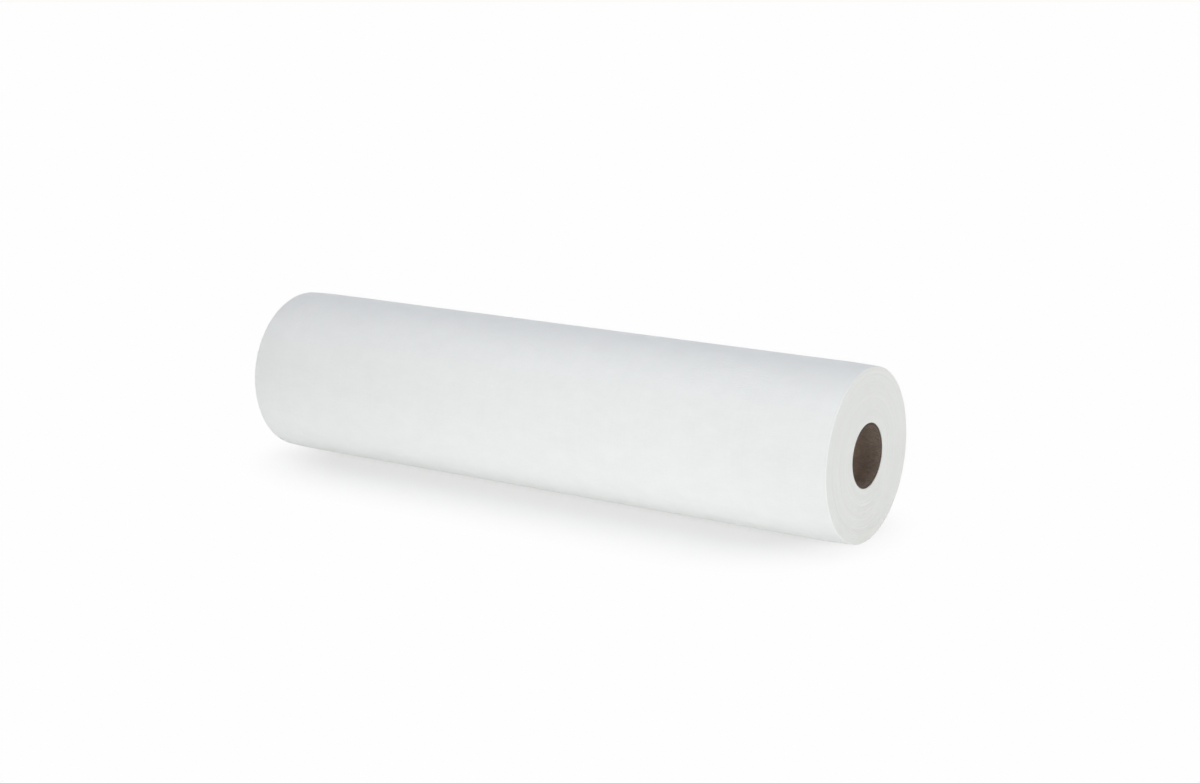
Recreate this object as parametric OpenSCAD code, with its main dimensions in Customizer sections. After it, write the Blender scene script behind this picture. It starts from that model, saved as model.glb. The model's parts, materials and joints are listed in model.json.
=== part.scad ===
// Exam table paper roll: one long sheet wound on a spiral-wound paperboard core.
// It lies on its side on a small flat spot. X runs along the roll, +Z is up, and the
// origin is on the surface below the middle of the roll.

/* [Roll] */
// Width of the sheet, which is the length of the roll
sheet_w = 457.2; // [300:0.1:610]
// Diameter over the outer turn
roll_d = 114; // [80:0.5:150]
// Thickness of one turn of the sheet
turn_t = 0.23; // [0.1:0.01:0.6]
// Rounding of the roll's edge at each end
edge_round = 1.6; // [0.4:0.1:4]
// Width of the flat spot that the soft roll lies on
flat_w = 13; // [8:0.5:24]
// How far below the widest point at the back the sheet's loose end lies, in degrees
tail_drop = 22; // [5:1:50]

/* [End faces] */
// Turns of the sheet from one groove of the winding to the next
turns_per_groove = 15; // [8:1:20]
// Width of a groove where it opens on the end face
groove_w = 0.6; // [0.2:0.05:1.2]
// Depth of a groove
groove_depth = 0.35; // [0.1:0.05:0.8]
// Band without grooves around the edge of an end face
plain_band = 1.8; // [1:0.1:8]

/* [Core] */
// Bore of the core, which takes a dispenser's rod
core_bore = 38.1; // [25:0.1:50]
// Wall of the core
core_wall = 2; // [1:0.1:4]
// How far the core stands back from each end face
core_setback = 1.2; // [0.2:0.1:4]
// Rounding of the core's inner edge at each end
core_lip = 0.4; // [0.1:0.05:0.9]
// Gap between the core and the first turn, which is wound tight on it
core_gap = 0; // [0:0.05:0.5]

/* [Hidden] */
$fn = 180;

roll_r = roll_d / 2;
core_r = core_bore / 2 + core_wall;
core_len = sheet_w - 2 * core_setback;
hole_r = core_r + core_gap;

// The outer turn is a spiral of two half circles. Their radii differ by half a turn, and
// their centres lie a quarter turn to each side of the axis.
arc_shift = turn_t / 4;
inner_arc_r = roll_r - 3 * arc_shift;
outer_arc_r = roll_r - arc_shift;

// The flat spot cuts a chord of its own width from the smaller half circle, so the axis
// lies this high above the surface.
axis_h = sqrt(pow(inner_arc_r, 2) - pow(flat_w / 2, 2)) - arc_shift * sin(tail_drop);

groove_pitch = turns_per_groove * turn_t;
first_groove_r = hole_r + groove_pitch;
groove_span = roll_r - edge_round - plain_band - groove_w / 2 - first_groove_r;
groove_turns = floor(groove_span / groove_pitch);

// How far a cutting shape runs past the surface that it opens
past = 1;

PAPER = [0.93, 0.94, 0.94];
BOARD = [0.40, 0.34, 0.29];

// Turns a shape made along Z so that it runs along X, with its +X to the back and its +Y up
module lay_along_x() {
    translate([0, 0, axis_h]) rotate([90, 0, 90]) children();
}

// The side of the winding that holds the loose end: the sheet comes over the top and ends
// low at the back, with its edge facing down
module wound() {
    rotate([0, 0, -tail_drop]) mirror([0, 1, 0]) children();
}

// A half turn of a section given as radius and length, on one side of the X axis
module half_turn(side, centre) {
    translate([centre, 0, 0])
        rotate([0, 0, side > 0 ? 0 : 180])
            rotate_extrude(angle = 180) children();
}

// Half the roll's section, from its axis to a radius, with its end edges rounded
module roll_section(r) {
    translate([0, -sheet_w / 2]) square([r - edge_round, sheet_w]);
    translate([0, edge_round - sheet_w / 2]) square([r, sheet_w - 2 * edge_round]);
    for (end = [-1, 1])
        translate([r - edge_round, end * (sheet_w / 2 - edge_round)]) circle(edge_round);
}

// The wound sheet before its hole and grooves, with a step of one turn at the loose end
module winding() {
    half_turn(1, -arc_shift) roll_section(inner_arc_r);
    half_turn(-1, arc_shift) roll_section(outer_arc_r);
}

// Section of a groove that opens on the end face at the given radius
module groove_section(r, end) {
    face = end * sheet_w / 2;
    polygon([
        [r - groove_w / 2, face + end * past],
        [r - groove_w / 2, face],
        [r, face - end * groove_depth],
        [r + groove_w / 2, face],
        [r + groove_w / 2, face + end * past]
    ]);
}

// One spiral groove on an end face, between bundles of turns, made of half circles
module spiral_groove(end) {
    for (k = [0 : groove_turns - 1]) {
        r = first_groove_r + k * groove_pitch;
        half_turn(1, 0) groove_section(r, end);
        half_turn(-1, groove_pitch / 2) groove_section(r + groove_pitch / 2, end);
    }
}

// All the turns of the sheet, as one solid around the core
module paper_roll() {
    color(PAPER)
    difference() {
        lay_along_x() wound() winding();
        lay_along_x() cylinder(h = sheet_w + 2 * past, r = hole_r, center = true);
        lay_along_x() wound() {
            spiral_groove(-1);
            spiral_groove(1);
        }
        translate([-sheet_w / 2 - past, -roll_d / 2, -roll_d])
            cube([sheet_w + 2 * past, roll_d, roll_d]);
    }
}

// Half the core's section, a thin wall whose inner edges are rounded at both ends
module core_section() {
    bore_r = core_bore / 2;
    translate([bore_r + core_lip, -core_len / 2])
        square([core_wall - core_lip, core_len]);
    translate([bore_r, core_lip - core_len / 2])
        square([core_lip, core_len - 2 * core_lip]);
    for (end = [-1, 1])
        translate([bore_r + core_lip, end * (core_len / 2 - core_lip)]) circle(core_lip, $fn = 48);
}

// The paperboard tube that the sheet is wound on
module core() {
    color(BOARD)
    lay_along_x() rotate_extrude() core_section();
}

core();
paper_roll();
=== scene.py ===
# An exam table paper roll: the wound sheet with its loose end and the board core inside it,
# lying on a plain white floor. Lengths are in metres. X runs along the roll, +Z is up.

import json
import math
import random

import bpy
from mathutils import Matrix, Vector, noise


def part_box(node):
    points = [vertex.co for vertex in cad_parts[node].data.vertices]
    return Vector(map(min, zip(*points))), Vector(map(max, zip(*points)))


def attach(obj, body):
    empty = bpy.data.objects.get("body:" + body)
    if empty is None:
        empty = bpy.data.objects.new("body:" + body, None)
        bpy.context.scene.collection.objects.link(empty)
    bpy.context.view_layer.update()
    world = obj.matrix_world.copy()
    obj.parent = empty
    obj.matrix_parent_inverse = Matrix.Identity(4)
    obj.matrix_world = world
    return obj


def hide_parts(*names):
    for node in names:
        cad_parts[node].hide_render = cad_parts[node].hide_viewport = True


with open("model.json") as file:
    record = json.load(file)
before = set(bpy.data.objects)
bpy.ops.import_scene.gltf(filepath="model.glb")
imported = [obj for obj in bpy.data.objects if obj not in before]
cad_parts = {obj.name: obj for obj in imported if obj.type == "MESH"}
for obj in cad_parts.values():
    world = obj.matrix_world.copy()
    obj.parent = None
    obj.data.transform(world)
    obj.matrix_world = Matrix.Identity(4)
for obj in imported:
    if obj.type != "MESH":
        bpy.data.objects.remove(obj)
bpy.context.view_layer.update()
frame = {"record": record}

MM = 0.001

# The roll, from the frame
roll_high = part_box("paper_roll")[1]
core_low, core_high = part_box("core")
core_bore = next(m for m in frame["record"]["mounts"] if m["name"] == "core_bore")
HALF_LENGTH = roll_high.x
ROLL_RADIUS = roll_high.y
AXIS_HEIGHT = (core_low.z + core_high.z) / 2
CORE_RADIUS = (core_high.z - core_low.z) / 2
BORE_RADIUS = core_bore["dims"]["r_mm"] * MM

# The core's ends show closer to the roll's end faces than the solid's do
CORE_HALF_LENGTH = core_high.x + 0.9 * MM

# Points that lie closer than this are one
MERGE_DISTANCE = 0.002 * MM

# The sheet, and the length and drop of the slope of its outer turns at each end
SHEET = 0.23 * MM
EDGE_ROUND = 0.8 * MM
SHOULDER = (24 * MM, 0.6 * MM)
SEAM_GAP = 0.2 * MM
HALF_TURN_STEPS = 96
LENGTH_STEPS = 96
ROUND_STEPS = 5

# Bands of turns on the end faces, which stand a little in or out from each other
BAND_WIDTHS = (0.7 * MM, 2.6 * MM)
BAND_SUNK = 0.10 * MM
BAND_GAP = 0.16 * MM
BAND_GAP_DEPTH = 0.06 * MM

# The loose end: it leaves the turns after its root and ends in a cut, below the roll's middle
TAIL_DROP = math.radians(22)
LOOSE_ARC = 15 * MM
LOOSE_ROOT = 4 * MM
LOOSE_ROOT_SINK = 0.06 * MM
LOOSE_INSET = 0.5 * MM
LOOSE_LIFT = 0.9 * MM
LOOSE_CURL = 1.7
LOOSE_RIPPLE = 21 * MM
LOOSE_STEPS = (150, 18)
GLUE_SPOTS = (-0.13, 0.02, 0.15)
GLUE_REACH = 26 * MM

# Soft unevenness of the wound sheet, as lengths and depths, and the height where it is whole
SOFT_WAVES = ((52 * MM, 0.11 * MM), (19 * MM, 0.035 * MM))
TENSION_BANDS = (34 * MM, 0.05 * MM)
EVEN_HEIGHT = 30 * MM

# The core
CORE_TURN_STEPS = 144
CORE_LENGTH_STEPS = 120
CORE_LIP = 0.4 * MM
CORE_LIP_STEPS = 3
PLY = 0.4 * MM
PLY_SLOPE = 0.12 * PLY
PLY_SETBACKS = (0.0, 0.12 * MM, 0.03 * MM, 0.15 * MM)
SEAM_DEPTH = 0.25 * MM
SEAM_ADVANCE = 87 * MM

# The camera, as it stood for the photo
VIEW_TARGET = Vector((29.3 * MM, 0.0, AXIS_HEIGHT + 15.5 * MM))
VIEW_DISTANCE = 1.456
VIEW_AZIMUTH = math.radians(33.17)
VIEW_ELEVATION = math.radians(13.2)
VIEW_LENS = 65.16

# The surround: the levels that it lights with, and the white that it shows
WORLD_LEVEL = 0.05
FLOOR_LEVEL = 0.232
FLOOR_COLOUR = 0.85
FLOOR_WHITE = 0.99
FLOOR_SIZE = 60.0

# The floor shows the roll's shadow up to the first reach from a line under the roll's axis,
# and plain white from the second. The line stops short of the roll's ends. In the shadow the
# floor reflects a share of the light and glows evenly besides.
SHADOW_REACH = (0.04, 0.115)
SHADOW_END = 0.087
SHADOW_SHARE = 0.39
SHADOW_GLOW = 0.52

# Each lamp: its azimuth and elevation in degrees, distance, size, power and colour
LAMPS = (
    ("overhead", 0.0, 88.0, 1.3, 1.2, 10.4, (0.916, 0.931, 1.0)),
    ("near_end", 85.0, 8.0, 1.6, 1.0, 11.62, (0.983, 0.998, 1.0)),
    ("low_front", 8.0, 8.0, 0.82, 0.7, 4.12, (1.0, 0.985, 0.967)),
    ("back", 190.0, 4.0, 1.6, 0.8, 8.6, (1.0, 1.0, 1.0)),
    ("far_end", 250.0, 8.0, 1.6, 1.0, 8.5, (1.0, 1.0, 1.0)),
)

random.seed(7)


def deselect_all():
    bpy.ops.object.select_all(action="DESELECT")


def make_active(piece):
    """Selects one piece alone and makes it the one that operators work on."""
    deselect_all()
    piece.select_set(True)
    bpy.context.view_layer.objects.active = piece


def active_piece(name):
    piece = bpy.context.view_layer.objects.active
    piece.name = name
    piece.data.name = name
    return piece


def drawn_section(name, points):
    """A closed outline through points (along the axis, from the axis), as a mesh."""
    curve = bpy.data.curves.new(name, "CURVE")
    curve.dimensions = "3D"
    line = curve.splines.new("POLY")
    line.points.add(len(points) - 1)
    for knot, (along, radius) in zip(line.points, points):
        knot.co = (along, radius, 0.0, 1.0)
    line.use_cyclic_u = True
    piece = bpy.data.objects.new(name, curve)
    bpy.context.collection.objects.link(piece)
    make_active(piece)
    bpy.ops.object.convert(target="MESH")
    return active_piece(name)


def settle_in_place(piece, turn):
    """Turns a piece made along X about the roll's axis, lifts it there and bakes its place."""
    make_active(piece)
    piece.rotation_euler.x = turn
    piece.location.z = AXIS_HEIGHT
    bpy.ops.object.transform_apply(location=True, rotation=True, scale=True)


def close_mesh(piece, smooth_angle):
    """Merges doubles, points the faces outwards and smooths all but the sharp edges."""
    make_active(piece)
    bpy.ops.object.mode_set(mode="EDIT")
    bpy.ops.mesh.select_all(action="SELECT")
    bpy.ops.mesh.remove_doubles(threshold=MERGE_DISTANCE)
    bpy.ops.mesh.normals_make_consistent(inside=False)
    bpy.ops.object.mode_set(mode="OBJECT")
    bpy.ops.object.shade_smooth_by_angle(angle=smooth_angle)


# The wound sheet


def side_radius(along):
    """The radius of the roll's side. The soft outer turns slope down a little to each end."""
    length, drop = SHOULDER
    into_shoulder = max(0.0, 1.0 - (HALF_LENGTH - abs(along)) / length)
    return ROLL_RADIUS - drop * into_shoulder**2


def end_face_line(end):
    """Points of one end face from the hole to the rim: bands of turns with gaps between."""
    face = end * HALF_LENGTH
    edge = side_radius(HALF_LENGTH) - EDGE_ROUND
    points = [(face - end * BAND_GAP_DEPTH, CORE_RADIUS)]
    radius = CORE_RADIUS
    while radius < edge - BAND_WIDTHS[0]:
        width = min(random.uniform(*BAND_WIDTHS), edge - radius)
        sunk = random.uniform(0.0, BAND_SUNK)
        level = face - end * sunk
        points.append((level, radius + BAND_GAP / 2))
        points.append((level, radius + width - BAND_GAP / 2))
        points.append((level - end * BAND_GAP_DEPTH, radius + width))
        radius += width
    return points[:-1]


def rounded_edge(end):
    """Points of the roll's edge, from the end face to its side."""
    centre = HALF_LENGTH - EDGE_ROUND, side_radius(HALF_LENGTH - EDGE_ROUND) - EDGE_ROUND
    points = []
    for step in range(ROUND_STEPS + 1):
        angle = math.pi / 2 * step / ROUND_STEPS
        along = centre[0] + EDGE_ROUND * math.cos(angle)
        points.append((end * along, centre[1] + EDGE_ROUND * math.sin(angle)))
    return points


def side_line():
    """Points along the roll's side between its two rounded edges."""
    reach = HALF_LENGTH - EDGE_ROUND
    places = [reach * (2 * step / LENGTH_STEPS - 1) for step in range(1, LENGTH_STEPS)]
    return [(along, side_radius(along)) for along in places]


def wind(section, seam_gap):
    """Spins the section through two half turns about shifted centres, so that it ends one
    sheet further out than it began, and bridges the narrow seam between start and end."""
    start_count = len(section.data.vertices)
    for vertex in section.data.vertices:
        vertex.co.y -= SHEET
    make_active(section)
    bpy.ops.object.mode_set(mode="EDIT")
    bpy.ops.mesh.select_mode(type="VERT")
    bpy.ops.mesh.select_all(action="SELECT")
    for shift, angle in ((-SHEET / 4, math.pi), (SHEET / 4, math.pi - seam_gap)):
        bpy.ops.mesh.spin(
            steps=HALF_TURN_STEPS, angle=angle, center=(0.0, shift, 0.0), axis=(-1.0, 0.0, 0.0)
        )
    bpy.ops.object.mode_set(mode="OBJECT")
    last = {vertex.index for vertex in section.data.vertices if vertex.select}
    for edge in section.data.edges:
        ends = set(edge.vertices)
        edge.select = max(ends) < start_count or ends <= last
    bpy.ops.object.mode_set(mode="EDIT")
    bpy.ops.mesh.select_mode(type="EDGE")
    bpy.ops.mesh.bridge_edge_loops()
    bpy.ops.object.mode_set(mode="OBJECT")


def unevenness(place):
    """How far the side lies below its true radius at a place: soft waves that run round the
    roll and along it, and bands where the sheet was wound tighter, on a line of their own
    through the noise."""
    depth = 0.0
    for length, height in SOFT_WAVES:
        depth += height * (0.5 + 0.5 * noise.noise(place / length))
    length, height = TENSION_BANDS
    along = Vector((place.x / length, 3.7, 9.1))
    return depth + height * (0.5 + 0.5 * noise.noise(along))


def soften(piece):
    """Presses the soft unevenness into a placed piece, and the flat spot that it lies on. The
    unevenness fades towards the core and towards the floor, where the weight holds it even."""
    for vertex in piece.data.vertices:
        spoke = Vector((0.0, vertex.co.y, vertex.co.z - AXIS_HEIGHT))
        free = min(1.0, max(0.0, vertex.co.z) / EVEN_HEIGHT) ** 2
        share = free * (spoke.length / ROLL_RADIUS) ** 4
        vertex.co -= spoke.normalized() * unevenness(vertex.co) * share
        vertex.co.z = max(vertex.co.z, 0.0)


def make_turns():
    """All the turns of the sheet, under the loose end."""
    near = end_face_line(1) + rounded_edge(1)
    far = end_face_line(-1) + rounded_edge(-1)
    section = drawn_section("wound_sheet", far + side_line() + near[::-1])
    wind(section, seam_gap=SEAM_GAP / ROLL_RADIUS)
    loose_turn = LOOSE_ARC / ROLL_RADIUS
    settle_in_place(section, turn=loose_turn - TAIL_DROP)
    soften(section)
    close_mesh(section, smooth_angle=math.radians(35))
    return section


def lift(along, past_seam):
    """How far the loose end stands off: nothing at the glue spots, most at the corners."""
    if past_seam <= 0.0:
        return 0.0
    nearest = min(abs(along - spot) for spot in GLUE_SPOTS)
    free = 1.0 - math.exp(-((nearest / GLUE_REACH) ** 2))
    ripple = 0.6 + 0.4 * noise.noise(Vector((along / LOOSE_RIPPLE, 0.0, 5.3)))
    return LOOSE_LIFT * free * ripple * (past_seam / LOOSE_ARC) ** LOOSE_CURL


def make_loose_end():
    """The last stretch of the sheet, which lies on the turns and ends in a straight cut."""
    deselect_all()
    width = 2 * (HALF_LENGTH - LOOSE_INSET)
    depth = LOOSE_ROOT + LOOSE_ARC
    steps_along, steps_round = LOOSE_STEPS
    bpy.ops.mesh.primitive_grid_add(
        x_subdivisions=steps_along, y_subdivisions=steps_round, size=1.0
    )
    loose = active_piece("loose_end")
    bpy.ops.transform.resize(value=(width, depth, 1.0))
    bpy.ops.object.transform_apply(location=True, rotation=True, scale=True)
    for vertex in loose.data.vertices:
        past_seam = vertex.co.y + depth / 2 - LOOSE_ROOT
        root_share = max(0.0, -past_seam / LOOSE_ROOT)
        under = LOOSE_ROOT_SINK * root_share**2
        radius = side_radius(vertex.co.x) + lift(vertex.co.x, past_seam) - under
        angle = (LOOSE_ARC - past_seam) / ROLL_RADIUS
        vertex.co.y = radius * math.cos(angle)
        vertex.co.z = radius * math.sin(angle)
    thickness = loose.modifiers.new("sheet", "SOLIDIFY")
    thickness.thickness = SHEET
    thickness.offset = 1.0
    make_active(loose)
    bpy.ops.object.modifier_apply(modifier="sheet")
    settle_in_place(loose, turn=-TAIL_DROP)
    soften(loose)
    close_mesh(loose, smooth_angle=math.radians(50))
    return loose


def make_wound_sheet():
    turns = make_turns()
    loose = make_loose_end()
    make_active(turns)
    loose.select_set(True)
    bpy.ops.object.join()
    return active_piece("wound_sheet")


# The core


def core_end_line(end):
    """Points of one cut end of the core, from its rounded inner edge out over its plies."""
    points = []
    for step in range(CORE_LIP_STEPS + 1):
        angle = math.pi / 2 * step / CORE_LIP_STEPS
        along = CORE_HALF_LENGTH - CORE_LIP + CORE_LIP * math.sin(angle)
        points.append((end * along, BORE_RADIUS + CORE_LIP * (1 - math.cos(angle))))
    radius = BORE_RADIUS + CORE_LIP
    for setback in PLY_SETBACKS:
        level = end * (CORE_HALF_LENGTH - setback)
        points.append((level, radius + PLY_SLOPE))
        points.append((level, radius + PLY - PLY_SLOPE))
        radius += PLY
    points.append((end * (CORE_HALF_LENGTH - PLY_SETBACKS[-1]), CORE_RADIUS))
    return points


def make_core():
    """The board tube. Its inner ply winds along it, with a groove where the ply's edges meet."""
    reach = CORE_HALF_LENGTH - CORE_LIP
    steps = range(1, CORE_LENGTH_STEPS)
    inner = [(reach * (2 * step / CORE_LENGTH_STEPS - 1), BORE_RADIUS) for step in steps]
    outline = core_end_line(-1)[::-1] + inner + core_end_line(1)
    core = drawn_section("core_tube", outline)
    make_active(core)
    bpy.ops.object.mode_set(mode="EDIT")
    bpy.ops.mesh.select_all(action="SELECT")
    bpy.ops.mesh.spin(
        steps=CORE_TURN_STEPS, angle=2 * math.pi, center=(0.0, 0.0, 0.0), axis=(1.0, 0.0, 0.0)
    )
    bpy.ops.mesh.select_all(action="SELECT")
    bpy.ops.mesh.remove_doubles(threshold=MERGE_DISTANCE)
    bpy.ops.object.mode_set(mode="OBJECT")
    half_step = math.pi / CORE_TURN_STEPS
    for vertex in core.data.vertices:
        radius = math.hypot(vertex.co.y, vertex.co.z)
        at_seam = abs(math.atan2(vertex.co.z, vertex.co.y)) < half_step
        if at_seam and radius < BORE_RADIUS + 0.01 * MM:
            vertex.co.y += SEAM_DEPTH
    twist = core.modifiers.new("twist", "SIMPLE_DEFORM")
    twist.deform_method = "TWIST"
    twist.deform_axis = "X"
    twist.angle = 2 * math.pi * 2 * CORE_HALF_LENGTH / SEAM_ADVANCE
    bpy.ops.object.modifier_apply(modifier="twist")
    settle_in_place(core, turn=0.0)
    close_mesh(core, smooth_angle=math.radians(40))
    return core


# Materials


class Signal:
    """A number, colour or vector on its way through a material's nodes."""

    def __init__(self, socket):
        self.socket = socket

    def beside(self, output):
        """Another output of the node that this comes from."""
        return Signal(self.socket.node.outputs[output])

    def maths(self, operation, *others):
        """This number, and others after it, through one Math node."""
        inputs = dict(enumerate((self, *others)))
        return add_node(self.socket.id_data, "ShaderNodeMath", {"operation": operation}, inputs)

    def __add__(self, other):
        return self.maths("ADD", other)

    def __sub__(self, other):
        return self.maths("SUBTRACT", other)

    def __rsub__(self, other):
        inputs = {0: other, 1: self}
        return add_node(self.socket.id_data, "ShaderNodeMath", {"operation": "SUBTRACT"}, inputs)

    def __mul__(self, other):
        return self.maths("MULTIPLY", other)

    def __truediv__(self, other):
        return self.maths("DIVIDE", other)

    def __pow__(self, other):
        return self.maths("POWER", other)

    __radd__ = __add__
    __rmul__ = __mul__


def add_node(tree, kind, settings=None, inputs=None, output=0):
    """Adds a node: its settings first, then its inputs' values or links. Gives one output, if
    the node has any."""
    node = tree.nodes.new(kind)
    for name, value in (settings or {}).items():
        setattr(node, name, value)
    for name, value in (inputs or {}).items():
        if isinstance(value, Signal):
            tree.links.new(value.socket, node.inputs[name])
        else:
            node.inputs[name].default_value = value
    return Signal(node.outputs[output]) if node.outputs else None


def blank_material(name):
    material = bpy.data.materials.new(name)
    material.use_nodes = True
    material.node_tree.nodes.clear()
    return material, material.node_tree


def finish_surface(tree, shader):
    add_node(tree, "ShaderNodeOutputMaterial", None, {"Surface": shader})


def separate(tree, place):
    """The three coordinates of a place."""
    along = add_node(tree, "ShaderNodeSeparateXYZ", None, {0: place})
    return along, along.beside("Y"), along.beside("Z")


def centred_place(tree):
    """Object coordinates, counted from the middle of the roll's axis."""
    place = add_node(tree, "ShaderNodeTexCoord", output="Object")
    return add_node(
        tree,
        "ShaderNodeMapping",
        {"vector_type": "POINT"},
        {"Vector": place, "Location": (0.0, 0.0, -AXIS_HEIGHT)},
    )


def stretched(tree, place, sizes):
    """A place divided by a size along each axis, in metres."""
    scale = tuple(1.0 / size for size in sizes)
    inputs = {"Vector": place, "Scale": scale}
    return add_node(tree, "ShaderNodeMapping", {"vector_type": "POINT"}, inputs)


def cloud(tree, place, sizes, detail=2.0, roughness=0.5):
    """Soft noise from 0 to 1 whose features have about these sizes."""
    inputs = {
        "Vector": stretched(tree, place, sizes),
        "Scale": 1.0,
        "Detail": detail,
        "Roughness": roughness,
    }
    return add_node(tree, "ShaderNodeTexNoise", {"noise_dimensions": "3D"}, inputs)


def tinted(tree, low, high, share):
    """A colour between two others."""
    low, high = (end if isinstance(end, Signal) else (*end, 1.0) for end in (low, high))
    inputs = {0: share, 6: low, 7: high}
    settings = {"data_type": "RGBA", "clamp_factor": True}
    return add_node(tree, "ShaderNodeMix", settings, inputs, output=2)


def relief(tree, height, depth, under=None):
    """A bump of a height from 0 to 1 over a real depth, on top of another bump."""
    inputs = {"Height": height, "Distance": depth}
    if under is not None:
        inputs["Normal"] = under
    return add_node(tree, "ShaderNodeBump", None, inputs)


# Colours, gloss and roughness
PAPER_LIGHT = (0.873, 0.890, 0.876)
PAPER_SHADE = (0.827, 0.844, 0.833)
PAPER_GLOSS = 0.15
PAPER_ROUGHNESS = 0.92
CUT_LIGHT = (0.858, 0.862, 0.832)
CUT_SHADE = (0.799, 0.802, 0.768)
CUT_ROUGHNESS = 0.95
# The board's light and dark colours. The dark one also serves as painted shade at the core's
# mouths. The darkest is for the cut ends: darker cut board, and painted shade.
BOARD_LIGHT = (0.534, 0.419, 0.339)
BOARD_DARK = (0.192, 0.152, 0.125)
BOARD_CUT_AND_SHADE = (0.098, 0.074, 0.058)
BOARD_GLOSS = 0.12
BOARD_ROUGHNESS = 0.9

# The crepe's ridges and lines, and the depth of each relief. A line is so long round the
# roll that it doesn't change there.
RIDGE = (6 * MM, 0.5 * MM, 0.5 * MM)
RIDGE_RELIEF = 0.25 * MM
WIND_LINE = (1.1 * MM, 0.5, 0.5)
WIND_LINE_RELIEF = 0.045 * MM
WRINKLE = (40 * MM, 7 * MM, 7 * MM)
WRINKLE_RELIEF = 0.12 * MM

# The cut faces
CUT_BAND_RELIEF = 0.10 * MM
CUT_TURN_RELIEF = 0.035 * MM
CUT_ROUND_SHARE = 0.55
END_FACING = 0.6

# The board is painted darker at its mouths, as painted shade, and reaches its own colour this
# deep. Its cut ends are darkest: darker cut board, and painted shade as well.
MOUTH_DEPTH = 20 * MM
CUT_END_BLEND = 0.2 * MM


def crepe_paper():
    """White crepe: fine ridges along the roll, faint lines round it and a cloudy sheet. The
    colour is darker in the hollows of the ridges and lines, as painted shade.
    """
    material, tree = blank_material("crepe_paper")
    place = centred_place(tree)
    ridges = cloud(tree, place, RIDGE, detail=3.0, roughness=0.6)
    wind_lines = cloud(tree, place, WIND_LINE)
    wrinkles = cloud(tree, place, WRINKLE)
    clouds = cloud(tree, place, (16 * MM, 11 * MM, 11 * MM), detail=4.0, roughness=0.6)
    # The ridges and lines also darken the colour where they are low: painted shade in their
    # hollows, over the sheet's cloudy tone
    tone = 0.45 * clouds + 0.3 * ridges + 0.25 * wind_lines
    colour = tinted(tree, PAPER_SHADE, PAPER_LIGHT, (tone - 0.3) * 2.5)
    normal = relief(tree, wrinkles, WRINKLE_RELIEF)
    normal = relief(tree, wind_lines, WIND_LINE_RELIEF, under=normal)
    normal = relief(tree, ridges, RIDGE_RELIEF, under=normal)
    inputs = {
        "Base Color": colour,
        "Roughness": PAPER_ROUGHNESS,
        "Specular IOR Level": PAPER_GLOSS,
        "Normal": normal,
    }
    finish_surface(tree, add_node(tree, "ShaderNodeBsdfPrincipled", None, inputs))
    return material


def cut_paper():
    """The end faces: the cut edges of the turns, one line for each turn. Their colour follows
    their relief, darker where a turn sits low and where turns meet, as painted shade over a soft
    cloudy tone.
    """
    material, tree = blank_material("cut_paper")
    place = centred_place(tree)
    along, across, up = separate(tree, place)
    radius = (across * across + up * up) ** 0.5
    angle = up.maths("ARCTAN2", across)
    turns = (radius - CORE_RADIUS) / SHEET - angle / (2 * math.pi)
    number = turns.maths("FLOOR")
    within = turns - number
    random_turn = add_node(
        tree, "ShaderNodeTexWhiteNoise", {"noise_dimensions": "1D"}, {"W": number}
    )
    band = add_node(
        tree,
        "ShaderNodeTexNoise",
        {"noise_dimensions": "1D"},
        {"W": turns * 0.11, "Scale": 1.0, "Detail": 3.0, "Roughness": 0.7},
    )
    fibres = cloud(tree, place, (0.12 * MM, 0.12 * MM, 0.12 * MM))
    clouds = cloud(tree, place, (9 * MM, 9 * MM, 9 * MM), detail=3.0)
    edge = (within - 0.5) * 2.0
    sheet_body = 1.0 - edge * edge * edge * edge
    # Painted shade: apart from the clouds, the colour darkens with the relief below, where turns
    # sit low and where they meet
    tone = 0.34 * band + 0.16 * random_turn + 0.2 * sheet_body + 0.1 * fibres + 0.2 * clouds
    colour = tinted(tree, CUT_SHADE, CUT_LIGHT, (tone - 0.25) * 1.9)
    height = 0.45 * random_turn + 0.35 * sheet_body + 0.2 * fibres
    normal = relief(tree, band, CUT_BAND_RELIEF)
    normal = relief(tree, height, CUT_TURN_RELIEF, under=normal)
    inputs = {
        "Base Color": colour,
        "Roughness": CUT_ROUGHNESS,
        "Specular IOR Level": PAPER_GLOSS,
        "Normal": normal,
    }
    finish_surface(tree, add_node(tree, "ShaderNodeBsdfPrincipled", None, inputs))
    return material


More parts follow.
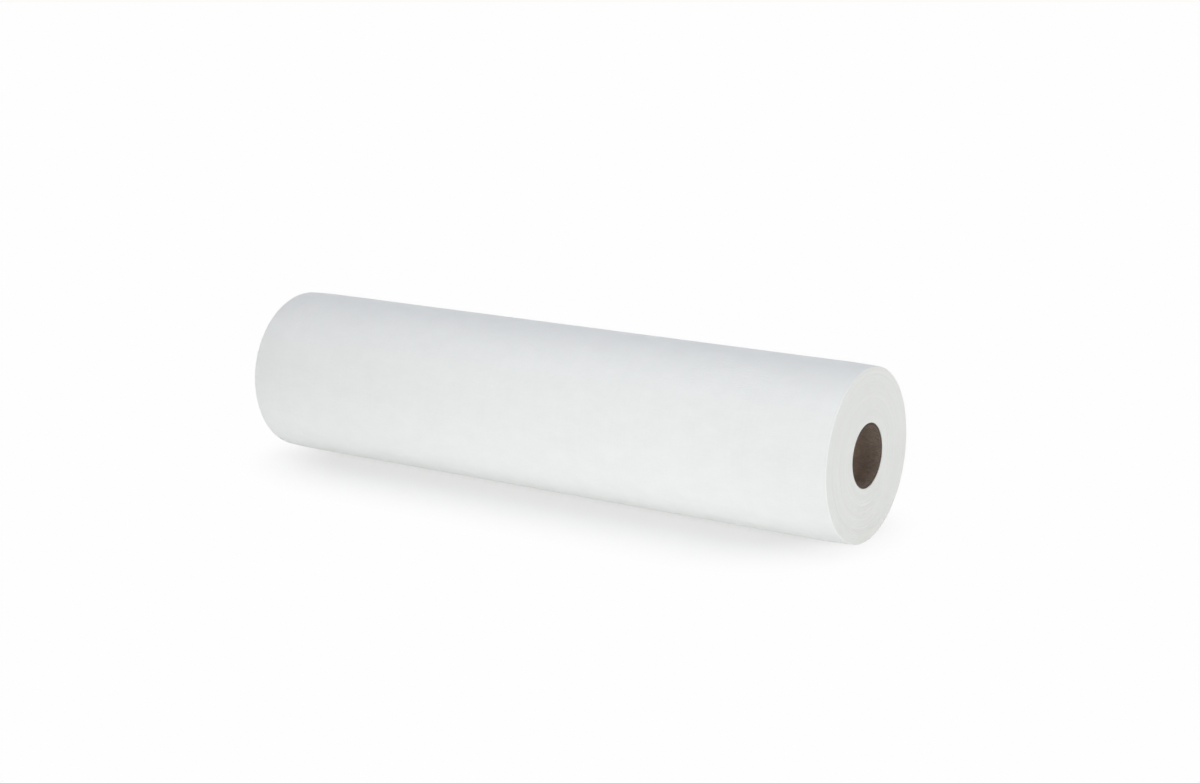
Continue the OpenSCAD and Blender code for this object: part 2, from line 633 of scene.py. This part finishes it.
def core_board():
    """Grey-brown board with fibres and flecks. Its colour is painted darker at its mouths, as
    painted shade, and darkest on its cut ends, as darker cut board and painted shade.
    """
    material, tree = blank_material("core_board")
    place = centred_place(tree)
    along, across, up = separate(tree, place)
    fibres = cloud(tree, place, (1.6 * MM, 0.35 * MM, 0.35 * MM), detail=4.0, roughness=0.65)
    stains = cloud(tree, place, (14 * MM, 9 * MM, 9 * MM), detail=3.0)
    flecks = cloud(tree, place, (3 * MM, 1.6 * MM, 1.6 * MM))
    tone = 0.5 * fibres + 0.25 * stains + 0.25 * flecks
    # Painted shade: the board is darker near its mouths and lighter deeper in the bore
    depth = (CORE_HALF_LENGTH - along.maths("ABSOLUTE")) / MOUTH_DEPTH
    colour = tinted(tree, BOARD_DARK, BOARD_LIGHT, (tone - 0.5) * 2.4 + depth)
    radius = (across * across + up * up) ** 0.5
    # The cut ends take the darkest colour: darker cut board, and painted shade
    cut_and_shade_share = (radius - BORE_RADIUS) / CUT_END_BLEND
    colour = tinted(tree, colour, BOARD_CUT_AND_SHADE, cut_and_shade_share)
    normal = relief(tree, fibres, 0.05 * MM)
    inputs = {
        "Base Color": colour,
        "Roughness": BOARD_ROUGHNESS,
        "Specular IOR Level": BOARD_GLOSS,
        "Normal": normal,
    }
    finish_surface(tree, add_node(tree, "ShaderNodeBsdfPrincipled", None, inputs))
    return material


def dress_sheet(piece):
    """Gives the sides of the sheet its crepe, and the cut faces at both ends their turns."""
    piece.data.materials.clear()
    piece.data.materials.append(crepe_paper())
    piece.data.materials.append(cut_paper())
    for face in piece.data.polygons:
        at_end = abs(face.center.x) > HALF_LENGTH - EDGE_ROUND * CUT_ROUND_SHARE
        face.material_index = 1 if at_end and abs(face.normal.x) > END_FACING else 0


# Floor, lamps and camera


def grey(level):
    return level, level, level, 1.0


def make_floor():
    """A plain white floor. The camera sees the roll's shadow near it and white further out."""
    deselect_all()
    bpy.ops.mesh.primitive_plane_add(size=FLOOR_SIZE)
    floor = active_piece("floor")
    material, tree = blank_material("white_floor")
    place = add_node(tree, "ShaderNodeTexCoord", output="Object")
    along, across = separate(tree, place)[:2]
    past_end = along.maths("ABSOLUTE") - (HALF_LENGTH - SHADOW_END)
    past_end = past_end.maths("MAXIMUM", 0.0)
    distance = (past_end * past_end + across * across) ** 0.5
    reach = {"Value": distance, "From Min": SHADOW_REACH[0], "From Max": SHADOW_REACH[1]}
    outside = add_node(tree, "ShaderNodeMapRange", {"interpolation_type": "SMOOTHSTEP"}, reach)
    white = add_node(tree, "ShaderNodeEmission", None, {"Strength": FLOOR_WHITE})
    lit = add_node(tree, "ShaderNodeBsdfDiffuse", None, {"Color": grey(SHADOW_SHARE)})
    glow = add_node(tree, "ShaderNodeEmission", None, {"Strength": SHADOW_GLOW})
    shaded = add_node(tree, "ShaderNodeAddShader", None, {0: lit, 1: glow})
    shown = add_node(tree, "ShaderNodeMixShader", None, {0: outside, 1: shaded, 2: white})
    plain = add_node(tree, "ShaderNodeBsdfDiffuse", None, {"Color": grey(FLOOR_COLOUR)})
    faint = add_node(tree, "ShaderNodeEmission", None, {"Strength": FLOOR_LEVEL})
    bounced = add_node(tree, "ShaderNodeAddShader", None, {0: plain, 1: faint})
    seen = add_node(tree, "ShaderNodeLightPath", output="Is Camera Ray")
    surface = add_node(tree, "ShaderNodeMixShader", None, {0: seen, 1: bounced, 2: shown})
    finish_surface(tree, surface)
    floor.data.materials.append(material)


def light_world():
    """An even white surround, which shows as white and lights at its own level."""
    world = bpy.data.worlds.new("surround")
    bpy.context.scene.world = world
    world.use_nodes = True
    tree = world.node_tree
    tree.nodes.clear()
    seen = add_node(tree, "ShaderNodeLightPath", output="Is Camera Ray")
    mirrored = seen.beside("Is Glossy Ray")
    through = seen.beside("Is Transmission Ray")
    shown = seen.maths("MAXIMUM", mirrored).maths("MAXIMUM", through)
    level = shown * FLOOR_WHITE + (1.0 - shown) * WORLD_LEVEL
    white = {"Color": grey(1.0), "Strength": level}
    background = add_node(tree, "ShaderNodeBackground", None, white)
    add_node(tree, "ShaderNodeOutputWorld", None, {"Surface": background})


def from_middle(azimuth, elevation, distance):
    """A point seen from the roll's middle. Azimuth 0 is in front, and 90 at the near end."""
    flat = distance * math.cos(elevation)
    across, back = flat * math.sin(azimuth), -flat * math.cos(azimuth)
    return Vector((across, back, distance * math.sin(elevation)))


def make_lamp(name, azimuth, elevation, distance, size, power, colour):
    """A square soft box that faces the middle of the roll."""
    data = bpy.data.lights.new(name, "AREA")
    data.size = size
    data.energy = power
    data.color = colour
    lamp = bpy.data.objects.new(name, data)
    bpy.context.collection.objects.link(lamp)
    middle = Vector((0.0, 0.0, AXIS_HEIGHT))
    away = from_middle(math.radians(azimuth), math.radians(elevation), distance)
    lamp.location = middle + away
    lamp.rotation_euler = away.to_track_quat("Z", "Y").to_euler()


def make_camera():
    data = bpy.data.cameras.new("camera")
    data.lens = VIEW_LENS
    data.clip_end = 100.0
    camera = bpy.data.objects.new("camera", data)
    bpy.context.collection.objects.link(camera)
    away = from_middle(VIEW_AZIMUTH, VIEW_ELEVATION, VIEW_DISTANCE)
    camera.location = VIEW_TARGET + away
    camera.rotation_euler = away.to_track_quat("Z", "Y").to_euler()
    bpy.context.scene.camera = camera


make_camera()

wound_sheet = make_wound_sheet()
dress_sheet(wound_sheet)
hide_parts("paper_roll")
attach(wound_sheet, "root")

core_tube = make_core()
core_tube.data.materials.clear()
core_tube.data.materials.append(core_board())
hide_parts("core")
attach(core_tube, "root")

make_floor()
light_world()
for lamp_settings in LAMPS:
    make_lamp(*lamp_settings)

bpy.context.scene.view_settings.view_transform = "Standard"
